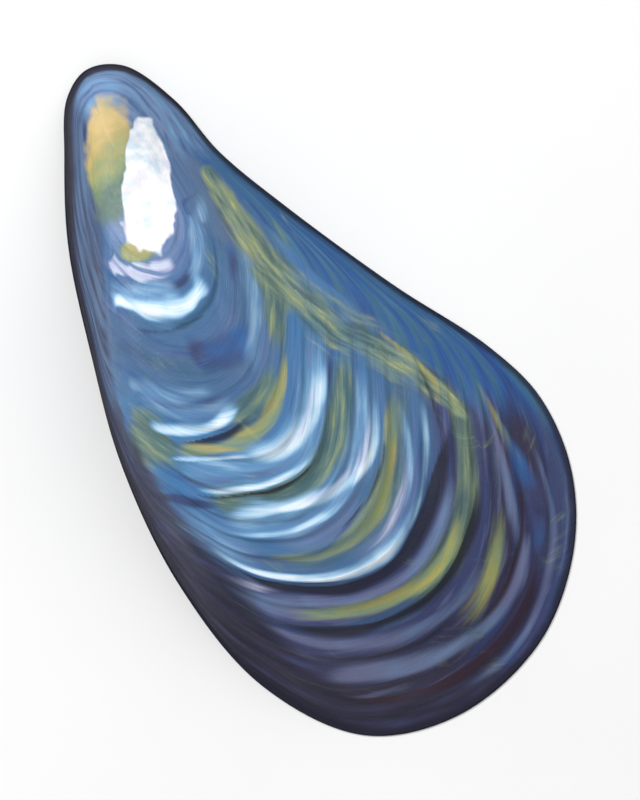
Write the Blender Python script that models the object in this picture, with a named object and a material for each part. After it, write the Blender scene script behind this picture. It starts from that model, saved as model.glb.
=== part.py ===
"""A blue mussel's shell: one valve, the left one, lying on its rim with the outside up.

The valve grew as one piece, so it is one solid. It is described as the animal made it: each growth
line is an earlier, smaller edge of the shell, and they all start around the beak. A point of the
shell has a growth, 0 at the first shell and 1 at today's rim, and a place around the rim, from 0 at
the beak over the hinge side, the rear and the belly side back to 1.

Frame: +Z up out of the shell's back, the rim flat on Z = 0, the beak towards +Y, the hinge side
towards +X, and the origin under the shell, at the middle of its box. Sizes are in millimetres and
are turned into metres where the mesh is made.
"""

import math

import bmesh
import bpy
import numpy as np
from mathutils import Vector

MM = 0.001

# The rim seen from above, as points of a smooth closed curve. X grows towards the hinge side and Y
# towards the beak. The first point is the tip of the beak, and the origin is close to it.
RIM_POINTS = [
    (-2.5, 0.4), (1.0, -1.0), (3.9, -6.5), (5.4, -13.2), (8.6, -21.0),
    (14.6, -33.5), (20.2, -43.7), (22.3, -50.5), (21.6, -58.5), (17.8, -66.0),
    (10.5, -72.4), (0.0, -75.0), (-9.5, -72.3), (-16.3, -63.0), (-18.9, -50.0),
    (-18.3, -36.5), (-15.8, -25.5), (-12.6, -14.5), (-8.6, -6.2), (-5.6, -1.2),
]
RIM_CURVE_STEPS = 40

# The growth axis: an arc in plan from the first shell to the rear of the rim. Its heading is
# measured from -Y towards +X, and it turns towards +X.
FIRST_SHELL = (-3.6, -9.5)
AXIS_HEADING = math.radians(-18.0)
AXIS_TURN = math.radians(32.0)
AXIS_LENGTH = 66.0

# Young shells were slimmer on the hinge side and wider on the belly side than the grown one. One
# side's rule passes into the other's over these distances across the axis.
HINGE_SIDE_LAG = 0.78
BELLY_SIDE_LEAD = 0.58
SIDE_CHANGE = (-4.0, 8.0)

# Height over the axis: it rises from the first shell, bends down towards the rear, and holds over
# the beak. Across the axis it falls off along a crown, whose radius grows with the shell.
HEIGHT_AT_FIRST_SHELL = 9.0
HEIGHT_RISE = 0.47
HEIGHT_BEND_TO_REAR = -0.0042
HEIGHT_BEND_TO_BEAK = 0.03
CROWN_AT_FIRST_SHELL = 17.0
CROWN_RISE = 0.4

# Fall from the back to the rim, as (place around the rim, power of the growth). A higher power
# gives a rounder shoulder and a steeper edge.
FALLS = [
    (0.00, 2.8), (0.06, 2.5), (0.14, 2.2), (0.26, 2.1), (0.38, 1.85),
    (0.50, 1.75), (0.64, 1.9), (0.76, 2.0), (0.88, 2.3), (1.00, 2.8),
]

# Thickness of the wall. It thins out towards the rim and is thick under the beak.
WALL = 1.3
WALL_AT_RIM = 0.9
WALL_AT_BEAK = 2.9
THINNING_GROWTH = (0.75, 1.0)
THICKENING_GROWTH = (0.1, 0.8)
THICK_TO_PLACE = (0.02, 0.10)

# Growth ledges, as (growth, drop): a band ends in a crest, and the next one starts that far below
# it. Crests lie on the smooth back. Where the bands are narrow the drops are lower in step, and the
# flank on the hinge side is calm.
LEDGES = [
    (0.150, 0.22), (0.240, 0.34), (0.375, 0.22), (0.410, 0.28), (0.475, 0.40),
    (0.530, 0.44), (0.585, 0.44), (0.622, 0.38), (0.658, 0.36), (0.708, 0.55),
    (0.770, 0.38), (0.806, 0.36), (0.853, 0.36), (0.905, 0.34), (0.955, 0.26),
]
LEDGE_WIDTH = 0.009
LEDGE_RAMP_POWER = 0.8
SPREAD_OF_FULL_DROP = 46.0
FLANK_DROP_SHARE = 0.3
FLANK_START = (0.0, 0.03)
FLANK_END = (0.20, 0.30)
CALM_AT_RIM = (0.985, 1.0)

# The worn patch behind the beak, where the outer layer has gone: a shallow oval hollow.
WORN_CENTRE = (-2.4, -12.4)
WORN_HALF_SIZE = (2.9, 7.0)
WORN_TURN = math.radians(22.0)
WORN_DEPTH = 0.2
WORN_EDGE = (0.8, 1.15)

# Mesh density. Places around the rim are closer together at the beak, where it bends most.
PLACES = 66
BEAK_CROWDING = 3.0
BEAK_CROWDING_REACH = 0.06
CROWDING_STEPS = 2001
WIDEST_BAND = 0.034
FIRST_OUTER_RING = 0.05
FIRST_INNER_RING = 0.16
INNER_RINGS = 13

# Steps of the slopes that give the normals, and of the search for the inner edge.
SLOPE_STEP = 0.002
EDGE_SEARCH = (0.4, 1.0)
EDGE_SEARCH_STEPS = 30

COLOUR = (0.055, 0.095, 0.21, 1.0)
ROUGHNESS = 0.32
SMOOTH_BELOW = math.radians(50.0)


def smoothstep(span, value):
    """0 before the span, 1 after it, and an eased rise within it."""
    low, high = span
    t = np.clip((value - low) / (high - low), 0.0, 1.0)
    return t * t * (3.0 - 2.0 * t)


def mix(first, second, share):
    return first + (second - first) * share


def eased(stops, place):
    """The value at each place, eased from one (place, value) stop to the next."""
    places, values = np.array(stops).T
    i = np.clip(np.searchsorted(places, place, side="right") - 1, 0, len(places) - 2)
    return mix(values[i], values[i + 1], smoothstep((places[i], places[i + 1]), place))


def closed_curve(points):
    """Points on the closed centripetal Catmull-Rom curve through the given ones."""
    points = np.array(points, float)
    stretches = []
    for i in range(len(points)):
        p0, p1, p2, p3 = (points[(i + k) % len(points)] for k in (-1, 0, 1, 2))
        t1 = np.linalg.norm(p1 - p0) ** 0.5
        t2 = t1 + np.linalg.norm(p2 - p1) ** 0.5
        t3 = t2 + np.linalg.norm(p3 - p2) ** 0.5
        t = np.linspace(t1, t2, RIM_CURVE_STEPS, endpoint=False)[:, None]
        a1 = ((t1 - t) * p0 + t * p1) / t1
        a2 = ((t2 - t) * p1 + (t - t1) * p2) / (t2 - t1)
        a3 = ((t3 - t) * p2 + (t - t2) * p3) / (t3 - t2)
        b1 = ((t2 - t) * a1 + t * a2) / t2
        b2 = ((t3 - t) * a2 + (t - t1) * a3) / (t3 - t1)
        stretches.append(((t2 - t) * b1 + (t - t1) * b2) / (t2 - t1))
    return np.concatenate(stretches)


class GrowthAxis:
    """The arc that the shell grew along. Places beside it are given as (along, across)."""

    def __init__(self):
        self.radius = AXIS_LENGTH / AXIS_TURN
        side = np.array([math.cos(AXIS_HEADING), math.sin(AXIS_HEADING)])
        self.centre = np.array(FIRST_SHELL) + self.radius * side
        self.start = math.atan2(-side[1], -side[0])

    def from_plan(self, points):
        """(along, across) of points given as (x, y)."""
        away = points - self.centre
        turned = np.arctan2(away[:, 1], away[:, 0]) - self.start
        turned = (turned + math.pi) % math.tau - math.pi
        return self.radius * turned, self.radius - np.hypot(away[:, 0], away[:, 1])

    def to_plan(self, along, across):
        """x and y of places given as (along, across)."""
        angle = self.start + along / self.radius
        reach = self.radius - across
        return self.centre[0] + reach * np.cos(angle), self.centre[1] + reach * np.sin(angle)


class Rim:
    """Today's rim, measured along and across the growth axis."""

    def __init__(self, axis):
        curve = closed_curve(RIM_POINTS)
        closed = np.vstack([curve, curve[:1]])
        lengths = np.linalg.norm(np.diff(closed, axis=0), axis=1)
        self.place = np.concatenate([[0.0], np.cumsum(lengths)]) / lengths.sum()
        self.along, self.across = axis.from_plan(closed)
        self.middle = (curve.min(0) + curve.max(0)) / 2.0

    def at(self, place):
        """(along, across) of the rim at each place around it."""
        return np.interp(place, self.place, self.along), np.interp(place, self.place, self.across)


AXIS = GrowthAxis()
RIM = Rim(AXIS)


def smooth_back(growth, place):
    """Points of the shell's outside without its relief."""
    place = place % 1.0
    rim_along, rim_across = RIM.at(place)
    hinge_width = growth - HINGE_SIDE_LAG * growth**2 * (1.0 - growth)
    belly_width = growth + BELLY_SIDE_LEAD * growth * (1.0 - growth) ** 2
    along = growth * rim_along
    across = rim_across * mix(belly_width, hinge_width, smoothstep(SIDE_CHANGE, rim_across))
    x, y = AXIS.to_plan(along, across)
    bend = np.where(along > 0.0, HEIGHT_BEND_TO_REAR, HEIGHT_BEND_TO_BEAK)
    height = HEIGHT_AT_FIRST_SHELL + HEIGHT_RISE * along + bend * along**2
    crown = CROWN_AT_FIRST_SHELL + CROWN_RISE * np.maximum(along, 0.0)
    height = height / (1.0 + (across / crown) ** 2)
    z = height * (1.0 - growth ** eased(FALLS, place))
    return np.stack([x - RIM.middle[0], y - RIM.middle[1], z], axis=-1)


def outward(growth, place):
    """Unit normals of the smooth back, pointing out, and the spread: mm between growth lines that
    are one whole growth apart."""
    line = smooth_back(growth, place + SLOPE_STEP) - smooth_back(growth, place - SLOPE_STEP)
    line /= np.linalg.norm(line, axis=-1, keepdims=True)
    grown = smooth_back(growth + SLOPE_STEP, place) - smooth_back(growth - SLOPE_STEP, place)
    normal = np.cross(line, grown / (2.0 * SLOPE_STEP))
    spread = np.linalg.norm(normal, axis=-1, keepdims=True)
    return normal / spread, spread[..., 0]


def band_depth(growth):
    """How far the bands lie below their crests, at full drop."""
    depth = np.zeros_like(growth)
    for (start, drop), (crest, _) in zip(LEDGES, LEDGES[1:] + [(1.0, 0.0)]):
        fallen = np.clip((growth - start) / LEDGE_WIDTH, 0.0, 1.0)
        risen = np.clip((growth - start - LEDGE_WIDTH) / (crest - start - LEDGE_WIDTH), 0.0, 1.0)
        in_band = (growth > start) & (growth <= crest)
        depth = np.where(in_band, drop * fallen * (1.0 - risen) ** LEDGE_RAMP_POWER, depth)
    return depth


def worn_share(points):
    """1 on the worn patch and 0 off it."""
    x = points[..., 0] + RIM.middle[0] - WORN_CENTRE[0]
    y = points[..., 1] + RIM.middle[1] - WORN_CENTRE[1]
    sideways = (math.cos(WORN_TURN) * x - math.sin(WORN_TURN) * y) / WORN_HALF_SIZE[0]
    lengthways = (math.sin(WORN_TURN) * x + math.cos(WORN_TURN) * y) / WORN_HALF_SIZE[1]
    return 1.0 - smoothstep(WORN_EDGE, np.hypot(sideways, lengthways))


def outside(growth, place):
    """Points of the shell's outside."""
    points = smooth_back(growth, place)
    normal, spread = outward(growth, place)
    flank = smoothstep(FLANK_START, place) * (1.0 - smoothstep(FLANK_END, place))
    drop_share = np.clip(spread / SPREAD_OF_FULL_DROP, 0.0, 1.0) * mix(1.0, FLANK_DROP_SHARE, flank)
    depth = band_depth(growth) * drop_share + WORN_DEPTH * worn_share(points)
    depth = depth * (1.0 - smoothstep(CALM_AT_RIM, growth))
    return points - depth[..., None] * normal


def inside(growth, place):
    """Points of the shell's inside: the smooth back, moved in by the wall."""
    wall = mix(WALL, WALL_AT_RIM, smoothstep(THINNING_GROWTH, growth))
    under_beak = 1.0 - smoothstep(THICK_TO_PLACE, np.minimum(place, 1.0 - place))
    wall = mix(wall, WALL_AT_BEAK, under_beak * smoothstep(THICKENING_GROWTH, growth))
    normal, _ = outward(growth, place)
    return smooth_back(growth, place) - wall[..., None] * normal


def inner_edge(place):
    """The growth at which the inside comes down to Z = 0, at each place around the rim."""
    low = np.full(len(place), EDGE_SEARCH[0])
    high = np.full(len(place), EDGE_SEARCH[1])
    for _ in range(EDGE_SEARCH_STEPS):
        middle = (low + high) / 2.0
        above = inside(middle, place)[:, 2] > 0.0
        low = np.where(above, middle, low)
        high = np.where(above, high, middle)
    return low


def crowded_places():
    """Places around the rim, closer together at the beak."""
    fine = np.linspace(0.0, 1.0, CROWDING_STEPS)
    from_beak = np.minimum(fine, 1.0 - fine) / BEAK_CROWDING_REACH
    crowding = np.cumsum(1.0 + BEAK_CROWDING * np.exp(-(from_beak**2)))
    crowding = (crowding - crowding[0]) / (crowding[-1] - crowding[0])
    return np.interp(np.linspace(0.0, 1.0, PLACES, endpoint=False), crowding, fine)


def outer_rings():
    """Growth of each ring of the outside: both lips of each ledge, and more across wide bands."""
    stops = [FIRST_OUTER_RING]
    for crest, _ in LEDGES:
        stops.extend([crest, crest + LEDGE_WIDTH])
    stops.append(1.0)
    rings = stops[:1]
    for low, high in zip(stops, stops[1:]):
        parts = math.ceil((high - low) / WIDEST_BAND)
        rings.extend(mix(low, high, (k + 1) / parts) for k in range(parts))
    return rings


def add_ring(mesh, points):
    return [mesh.verts.new(point * MM) for point in points]


def lay_flat(ring):
    for vert in ring:
        vert.co.z = 0.0


def join_rings(mesh, first, second):
    """A band of triangles from one ring to the next."""
    for i in range(PLACES):
        j = (i + 1) % PLACES
        mesh.faces.new((first[i], first[j], second[j]))
        mesh.faces.new((first[i], second[j], second[i]))


def close_ring(mesh, ring):
    """A fan of triangles from a ring to its middle."""
    middle = mesh.verts.new(sum((vert.co for vert in ring), Vector()) / PLACES)
    for i in range(PLACES):
        mesh.faces.new((ring[i], middle, ring[(i + 1) % PLACES]))


def valve_mesh():
    """The closed surface: rings down the outside, over the flat of the rim and up the inside."""
    place = crowded_places()
    mesh = bmesh.new()

    rings = [add_ring(mesh, outside(np.full(PLACES, growth), place)) for growth in outer_rings()]
    lay_flat(rings[-1])

    edge = inner_edge(place)
    inner_shares = np.linspace(1.0, FIRST_INNER_RING, INNER_RINGS)
    inner = [add_ring(mesh, inside(edge * share, place)) for share in inner_shares]
    lay_flat(inner[0])
    rings.extend(inner)

    for first, second in zip(rings, rings[1:]):
        join_rings(mesh, first, second)
    close_ring(mesh, rings[0])
    close_ring(mesh, rings[-1])
    bmesh.ops.recalc_face_normals(mesh, faces=mesh.faces[:])

    data = bpy.data.meshes.new("mussel_shell")
    mesh.to_mesh(data)
    mesh.free()
    data.shade_smooth()
    data.set_sharp_from_angle(angle=SMOOTH_BELOW)
    return data


def shell_material():
    material = bpy.data.materials.new("shell")
    material.use_nodes = True
    shader = material.node_tree.nodes["Principled BSDF"]
    shader.inputs["Base Color"].default_value = COLOUR
    shader.inputs["Roughness"].default_value = ROUGHNESS
    shader.inputs["Metallic"].default_value = 0.0
    return material


def main():
    for old in list(bpy.data.objects):
        bpy.data.objects.remove(old)
    valve = bpy.data.objects.new("mussel_shell", valve_mesh())
    valve.data.materials.append(shell_material())
    bpy.context.scene.collection.objects.link(valve)


main()
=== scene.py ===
"""The looks of a blue mussel's left valve: a finely ridged outside over a pearly inside.

The shell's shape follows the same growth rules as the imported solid, on a much finer mesh. Each
growth line is an earlier, smaller edge of the shell. A point of the shell has a growth, 0 at the
first shell and 1 at today's rim, and a place around the rim, from 0 at the beak over the hinge
side, the rear and the belly side back to 1. Shape sizes are in millimetres and are turned into
metres where the mesh is made. +Z points out of the back, +Y to the beak and +X to the hinge side.
"""

import math

import bpy
import numpy as np
from mathutils import Matrix, Vector


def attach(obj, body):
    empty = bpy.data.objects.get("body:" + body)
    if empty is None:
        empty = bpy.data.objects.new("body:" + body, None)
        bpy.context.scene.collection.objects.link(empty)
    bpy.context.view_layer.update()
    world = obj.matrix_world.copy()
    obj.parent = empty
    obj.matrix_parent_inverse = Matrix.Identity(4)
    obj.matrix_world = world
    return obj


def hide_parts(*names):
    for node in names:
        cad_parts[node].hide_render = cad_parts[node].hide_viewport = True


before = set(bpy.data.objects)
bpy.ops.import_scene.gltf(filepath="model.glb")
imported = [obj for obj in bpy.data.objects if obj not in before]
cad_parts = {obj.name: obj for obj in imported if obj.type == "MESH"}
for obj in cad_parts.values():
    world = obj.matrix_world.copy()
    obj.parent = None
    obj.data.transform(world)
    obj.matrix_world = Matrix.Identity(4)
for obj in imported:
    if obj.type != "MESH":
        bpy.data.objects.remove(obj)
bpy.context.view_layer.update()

MM = 0.001
NODE = "mussel_shell"

# The rim seen from above, as points of a smooth closed curve.
RIM_POINTS = [
    (-2.5, 0.4), (1.0, -1.0), (3.9, -6.5), (5.4, -13.2), (8.6, -21.0),
    (14.6, -33.5), (20.2, -43.7), (22.3, -50.5), (21.6, -58.5), (17.8, -66.0),
    (10.5, -72.4), (0.0, -75.0), (-9.5, -72.3), (-16.3, -63.0), (-18.9, -50.0),
    (-18.3, -36.5), (-15.8, -25.5), (-12.6, -14.5), (-8.6, -6.2), (-5.6, -1.2),
]
RIM_CURVE_STEPS = 60

# The growth axis: an arc in plan from the first shell to the rear of the rim.
FIRST_SHELL = (-3.6, -9.5)
AXIS_HEADING = math.radians(-18.0)
AXIS_TURN = math.radians(32.0)
AXIS_LENGTH = 66.0

# How much slimmer and wider the young shells' two sides were.
HINGE_SIDE_LAG = 0.78
BELLY_SIDE_LEAD = 0.58
SIDE_CHANGE = (-4.0, 8.0)

# Height over the axis, and its fall across the axis and towards the rim.
HEIGHT_AT_FIRST_SHELL = 9.0
HEIGHT_RISE = 0.47
HEIGHT_BEND_TO_REAR = -0.0042
HEIGHT_BEND_TO_BEAK = 0.03
CROWN_AT_FIRST_SHELL = 17.0
CROWN_RISE = 0.4
FALLS = [
    (0.00, 2.8), (0.06, 2.5), (0.14, 2.2), (0.26, 2.1), (0.38, 1.85),
    (0.50, 1.75), (0.64, 1.9), (0.76, 2.0), (0.88, 2.3), (1.00, 2.8),
]

# Thickness of the wall.
WALL = 1.3
WALL_AT_RIM = 0.9
WALL_AT_BEAK = 2.9
THINNING_GROWTH = (0.75, 1.0)
THICKENING_GROWTH = (0.1, 0.8)
THICK_TO_PLACE = (0.02, 0.10)

# The growth lines crowd together along the keel and the belly, and lean a little at the rear.
CROWDING = 40.0
CROWDING_SHARE = 0.85
CROWDING_POWER = 2.2
KEEL_TURN = 0.40
KEEL_TURN_POWER = 3
BELLY_TURN = 0.56
BELLY_TURN_POWER = 3
LEAN = 0.03
LEAN_PLACE = 0.46
LEAN_REACH = 0.25
LEAN_LINE = 0.77
LEAN_WIDTH = 0.09

# Growth ledges, as (line, drop).
LEDGES = [
    (0.150, 0.22), (0.252, 0.34), (0.375, 0.20), (0.430, 0.28), (0.482, 0.38),
    (0.540, 0.42), (0.590, 0.42), (0.625, 0.36), (0.660, 0.36), (0.718, 0.55),
    (0.770, 0.36), (0.806, 0.36), (0.853, 0.36), (0.905, 0.34), (0.955, 0.26),
]
LEDGE_WIDTH = 0.009
LEDGE_RAMP_POWER = 0.8
SPREAD_OF_FULL_DROP = 46.0
FLANK_DROP_SHARE = 0.12
KEEL_CALM_PLACES = (0.26, 0.38)
CALM_AT_RIM = (0.985, 1.0)

# The keel, as (place, line): the hinge flank lies beyond it and fades out at the last places.
KEEL = [
    (0.05, 0.22), (0.13, 0.36), (0.20, 0.48), (0.25, 0.58), (0.28, 0.66),
    (0.31, 0.73), (0.34, 0.81), (0.37, 0.91), (0.40, 1.00),
]
KEEL_SOFTNESS = 0.08
FLANK_START = (0.03, 0.09)
FLANK_END = (0.28, 0.37)

# The feathered streak of olive on the keel, as points in plan, and half its width at each.
KEEL_STREAK = [
    (3.5, -14.6, 1.2), (3.8, -20.2, 2.6), (4.3, -25.4, 3.2), (5.9, -30.4, 3.6), (7.6, -35.0, 3.9),
    (10.1, -38.4, 3.2), (12.2, -42.0, 2.4), (13.7, -45.4, 1.7), (14.7, -48.8, 0.6),
]
KEEL_STREAK_STEPS = 90

# Patches behind the beak, as (centre, half size, turn, taper): the worn white one, and the
# stains beside and below it. A taper above 0 makes a patch slimmer to the beak.
WORN_PATCH = ((-2.35, -13.1), (2.6, 7.0), math.radians(25.0), 0.30)
WORN_DEPTH = 0.2
WORN_EDGE = (0.86, 1.06)
SIDE_STAIN = ((-4.7, -9.3), (2.9, 7.2), math.radians(26.0), -0.10)
BASE_STAIN = ((-6.5, -18.6), (2.0, 1.2), math.radians(28.0), 0.0)
PATCH_POWER = 2.5
STAIN_EDGE = (0.55, 1.15)
STAIN_FADE = (-15.0, -5.0)
BASE_STAIN_TONE = 0.6

# What only the fine mesh holds: wandering growth lines, chipped crests, fine lines between the
# ledges, slow swells, and the torn edge of the worn patch.
WANDER = 0.005
WANDER_TURNS = 11
WANDER_LINES = 8.0
WANDER_ENDS = ((0.05, 0.25), (0.9, 1.0))
CHIPS = 0.35
CHIP_TURNS = 34
CHIP_LINES = 21.0
FINE_LINES = [(46.0, 0.10), (92.0, 0.06), (170.0, 0.025)]
FINE_LINE_TURNS = 9
FINE_LINE_SEED = 40
FADE_LINES = 7.0
FADE_SEED = 50
SWELL = 0.10
SWELL_SIZE = 8.0
SWELL_SHIFT = 20.0
PITS_IN_SWELL = 9.0
PIT_SHIFT = 80.0
PIT_LEAST = 0.8
PIT_SWING = 0.4
TORN_EDGE = 0.10
TORN_REACH = (0.2, 0.9)
TAPER_REACH = 1.2
# The tearing noise, as (steps per millimetre in x and in y, shift in x and in y, strength, seed).
TEARS = [(0.9, 0.5, 20.0, 40.0, 1.0, 31), (2.3, 1.4, 30.0, 90.0, 0.5, 32)]

# Marks of the soft body inside: muscle scars (centre, half size, turn, taper), the pallial line,
# the ligament's groove on the hinge side, small teeth under the beak and faint ripples.
SCARS = [
    ((11.6, -52.0), (3.6, 5.2), math.radians(-6.0), 0.15),
    ((8.9, -42.5), (1.5, 6.6), math.radians(-14.0), 0.3),
    ((-8.2, -10.2), (1.0, 2.4), math.radians(-22.0), 0.0),
]
SCAR_EDGE = (0.86, 1.08)
SCAR_DEPTH = 0.10
PALLIAL_SHARE = 0.845
PALLIAL_WIDTH = 0.010
PALLIAL_WANDER = 0.008
PALLIAL_TURNS = 24
PALLIAL_DEPTH = 0.06
PALLIAL_PLACES = ((0.36, 0.42), (0.88, 0.94))
LIGAMENT_PLACES = ((0.012, 0.022), (0.13, 0.18))
LIGAMENT_SHARES = (0.885, 0.925)
LIGAMENT_DEPTH = 0.14
TEETH_SHARES = (0.86, 0.93)
TEETH_REACH = 0.0285
TOOTH_SPACING = 0.0095
TOOTH_DEPTH = 0.22
LIP_CALM = 0.03
INNER_RIPPLES = 34.0
INNER_RIPPLE_TURNS = 9
INNER_RIPPLE_HEIGHT = 0.03
INNER_GOLD_PLACES = ((0.60, 0.72), (0.93, 0.99))
INNER_GOLD_SHARES = ((0.25, 0.55), (0.78, 0.92))

# Mesh density.
PLACES = 288
BEAK_CROWDING = 1.6
BEAK_CROWDING_REACH = 0.06
CROWDING_STEPS = 4001
FINE_BAND = 0.0044
LEDGE_CUTS = (0.0, 0.35, 1.0)
FIRST_OUTER_RING = 0.012
FIRST_INNER_RING = 0.10
INNER_RINGS = 60
EDGE_ROUNDING = 0.14
SLOPE_STEP = 0.002
EDGE_SEARCH = (0.4, 1.0)
EDGE_SEARCH_STEPS = 30
RIM_STRIDE = 3
NOISE_LENGTH = 256
BAKE_MARGIN = 0.01

# Bands of colour on the outside, as (width, strength, path). A path is of (place, line) points,
# and a width is in growth lines too.
# Pale arcs: partly the shell's paler growth bands, partly painted highlights just before the ledge
# crests.
LIGHT_BANDS = [
    (0.056, 0.94, [(0.40, 0.236), (0.45, 0.238), (0.51, 0.241), (0.57, 0.252), (0.70, 0.284)]),
    (0.038, 0.86, [(0.48, 0.408), (0.525, 0.428), (0.575, 0.453), (0.63, 0.477)]),
    (0.014, 0.74, [(0.50, 0.482), (0.56, 0.494), (0.61, 0.522)]),
    (0.056, 0.82, [(0.35, 0.534), (0.40, 0.516), (0.45, 0.496), (0.50, 0.484)]),
    (0.018, 0.94, [(0.44, 0.534), (0.49, 0.529), (0.54, 0.541), (0.58, 0.558)]),
    (0.038, 0.90, [(0.35, 0.644), (0.39, 0.637), (0.43, 0.612), (0.48, 0.584), (0.56, 0.592)]),
    (0.018, 0.76, [(0.44, 0.622), (0.48, 0.617), (0.52, 0.618), (0.57, 0.624)]),
    (0.032, 1.00, [(0.43, 0.720), (0.47, 0.719), (0.51, 0.720), (0.55, 0.706), (0.60, 0.700)]),
    (0.028, 0.54, [(0.330, 0.728), (0.38, 0.729), (0.44, 0.720)]),
    (0.020, 0.42, [(0.34, 0.690), (0.38, 0.702), (0.42, 0.700)]),
]
# Pale lilac arcs: partly the shell's paler growth bands, partly painted highlights before the ledge
# crests.
PALE_LILAC_AND_HIGHLIGHT_BANDS = [
    (0.038, 1.00, [(0.45, 0.172), (0.54, 0.183), (0.63, 0.204), (0.72, 0.220)]),
    (0.026, 0.60, [(0.36, 0.628), (0.40, 0.618), (0.44, 0.596), (0.47, 0.582)]),
    (0.022, 0.50, [(0.36, 0.520), (0.41, 0.505), (0.46, 0.486)]),
    (0.024, 0.64, [(0.56, 0.745), (0.59, 0.758), (0.62, 0.766)]),
    (0.020, 0.50, [(0.38, 0.700), (0.42, 0.700), (0.46, 0.698)]),
]
HAZE_BANDS = [
    (0.044, 0.62, [(0.15, 0.272), (0.22, 0.238), (0.29, 0.213), (0.36, 0.205), (0.42, 0.216)]),
    (0.060, 0.80, [(0.47, 0.212), (0.54, 0.226), (0.62, 0.250), (0.72, 0.280)]),
    (0.064, 0.54, [(0.22, 0.350), (0.28, 0.356), (0.34, 0.368), (0.42, 0.366)]),
    (0.034, 0.54, [(0.50, 0.366), (0.55, 0.378), (0.61, 0.400), (0.68, 0.432)]),
    (0.040, 0.42, [(0.48, 0.395), (0.54, 0.405), (0.60, 0.425), (0.66, 0.450)]),
    (0.075, 0.62, [(0.32, 0.515), (0.38, 0.512), (0.45, 0.495), (0.52, 0.505), (0.60, 0.530)]),
    (0.070, 0.60, [(0.33, 0.620), (0.42, 0.602), (0.50, 0.592), (0.58, 0.612)]),
    (0.110, 0.62, [(0.56, 0.640), (0.61, 0.680), (0.65, 0.700), (0.70, 0.720)]),
]
LILAC_BANDS = [
    (0.050, 0.62, [(0.43, 0.646), (0.48, 0.640), (0.54, 0.634)]),
    (0.050, 0.50, [(0.36, 0.700), (0.42, 0.705), (0.48, 0.696)]),
    (0.030, 0.70, [(0.38, 0.776), (0.44, 0.768), (0.50, 0.770), (0.56, 0.765)]),
    (0.060, 0.80, [(0.54, 0.775), (0.58, 0.785), (0.62, 0.786), (0.65, 0.780)]),
    (0.026, 0.55, [(0.42, 0.866), (0.48, 0.852), (0.54, 0.838), (0.60, 0.828)]),
    (0.034, 0.78, [(0.40, 0.924), (0.44, 0.925), (0.48, 0.910), (0.52, 0.889), (0.57, 0.893)]),
    (0.026, 0.60, [(0.31, 0.860), (0.34, 0.880), (0.37, 0.894), (0.41, 0.925)]),
    (0.020, 0.50, [(0.34, 0.945), (0.40, 0.968), (0.48, 0.974), (0.56, 0.966)]),
    (0.040, 0.50, [(0.28, 0.800), (0.31, 0.836), (0.34, 0.850)]),
]
OCHRE_BANDS = [
    (0.036, 1.00, [(0.37, 0.446), (0.43, 0.445), (0.49, 0.455), (0.55, 0.473), (0.59, 0.495)]),
    (0.036, 0.84, [(0.34, 0.675), (0.40, 0.672), (0.45, 0.667), (0.49, 0.675), (0.54, 0.667)]),
    (0.032, 0.94, [(0.41, 0.796), (0.45, 0.792), (0.49, 0.788), (0.55, 0.790)]),
    (0.044, 1.00, [(0.280, 0.690), (0.295, 0.728), (0.310, 0.752)]),
    (0.034, 0.56, [(0.305, 0.862), (0.325, 0.884), (0.350, 0.912)]),
    (0.050, 0.80, [(0.395, 0.882), (0.42, 0.884), (0.455, 0.886)]),
]
OLIVE_BANDS = [
    (0.110, 0.95, [(0.12, 0.350), (0.17, 0.385), (0.23, 0.402), (0.29, 0.412), (0.36, 0.420)]),
    (0.050, 0.80, [(0.40, 0.428), (0.45, 0.416), (0.50, 0.426)]),
    (0.054, 0.92, [(0.32, 0.584), (0.38, 0.568), (0.44, 0.556), (0.50, 0.554), (0.57, 0.570)]),
    (0.056, 0.60, [(0.32, 0.684), (0.38, 0.676), (0.44, 0.666), (0.49, 0.672), (0.54, 0.668)]),
    (0.056, 0.92, [(0.31, 0.790), (0.35, 0.802), (0.40, 0.804), (0.47, 0.794)]),
    (0.130, 1.00, [(0.60, 0.486), (0.64, 0.500), (0.68, 0.524), (0.73, 0.556)]),
]
# Dark lines: partly the shell's own dark growth lines, partly painted shadow just after the ledge crests.
DARK_LINE_AND_SHADOW_BANDS = [
    (0.018, 0.45, [(0.43, 0.262), (0.49, 0.262), (0.54, 0.272), (0.61, 0.294)]),
    (0.020, 0.80, [(0.48, 0.427), (0.535, 0.449), (0.58, 0.472)]),
    (0.014, 0.66, [(0.43, 0.544), (0.48, 0.539), (0.53, 0.547), (0.59, 0.570)]),
    (0.014, 0.60, [(0.36, 0.658), (0.40, 0.652), (0.44, 0.646), (0.48, 0.652)]),
    (0.034, 1.00, [(0.35, 0.762), (0.40, 0.738), (0.45, 0.735), (0.50, 0.740), (0.58, 0.716)]),
    (0.032, 0.85, [(0.38, 0.824), (0.44, 0.813), (0.50, 0.812), (0.57, 0.806)]),
    (0.018, 0.60, [(0.46, 0.868), (0.50, 0.861), (0.57, 0.850)]),
    (0.020, 0.75, [(0.375, 0.916), (0.42, 0.913), (0.46, 0.904)]),
    (0.030, 0.95, [(0.42, 0.949), (0.46, 0.948), (0.50, 0.941), (0.58, 0.926)]),
    (0.018, 0.60, [(0.29, 0.716), (0.32, 0.740), (0.35, 0.752)]),
]
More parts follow.
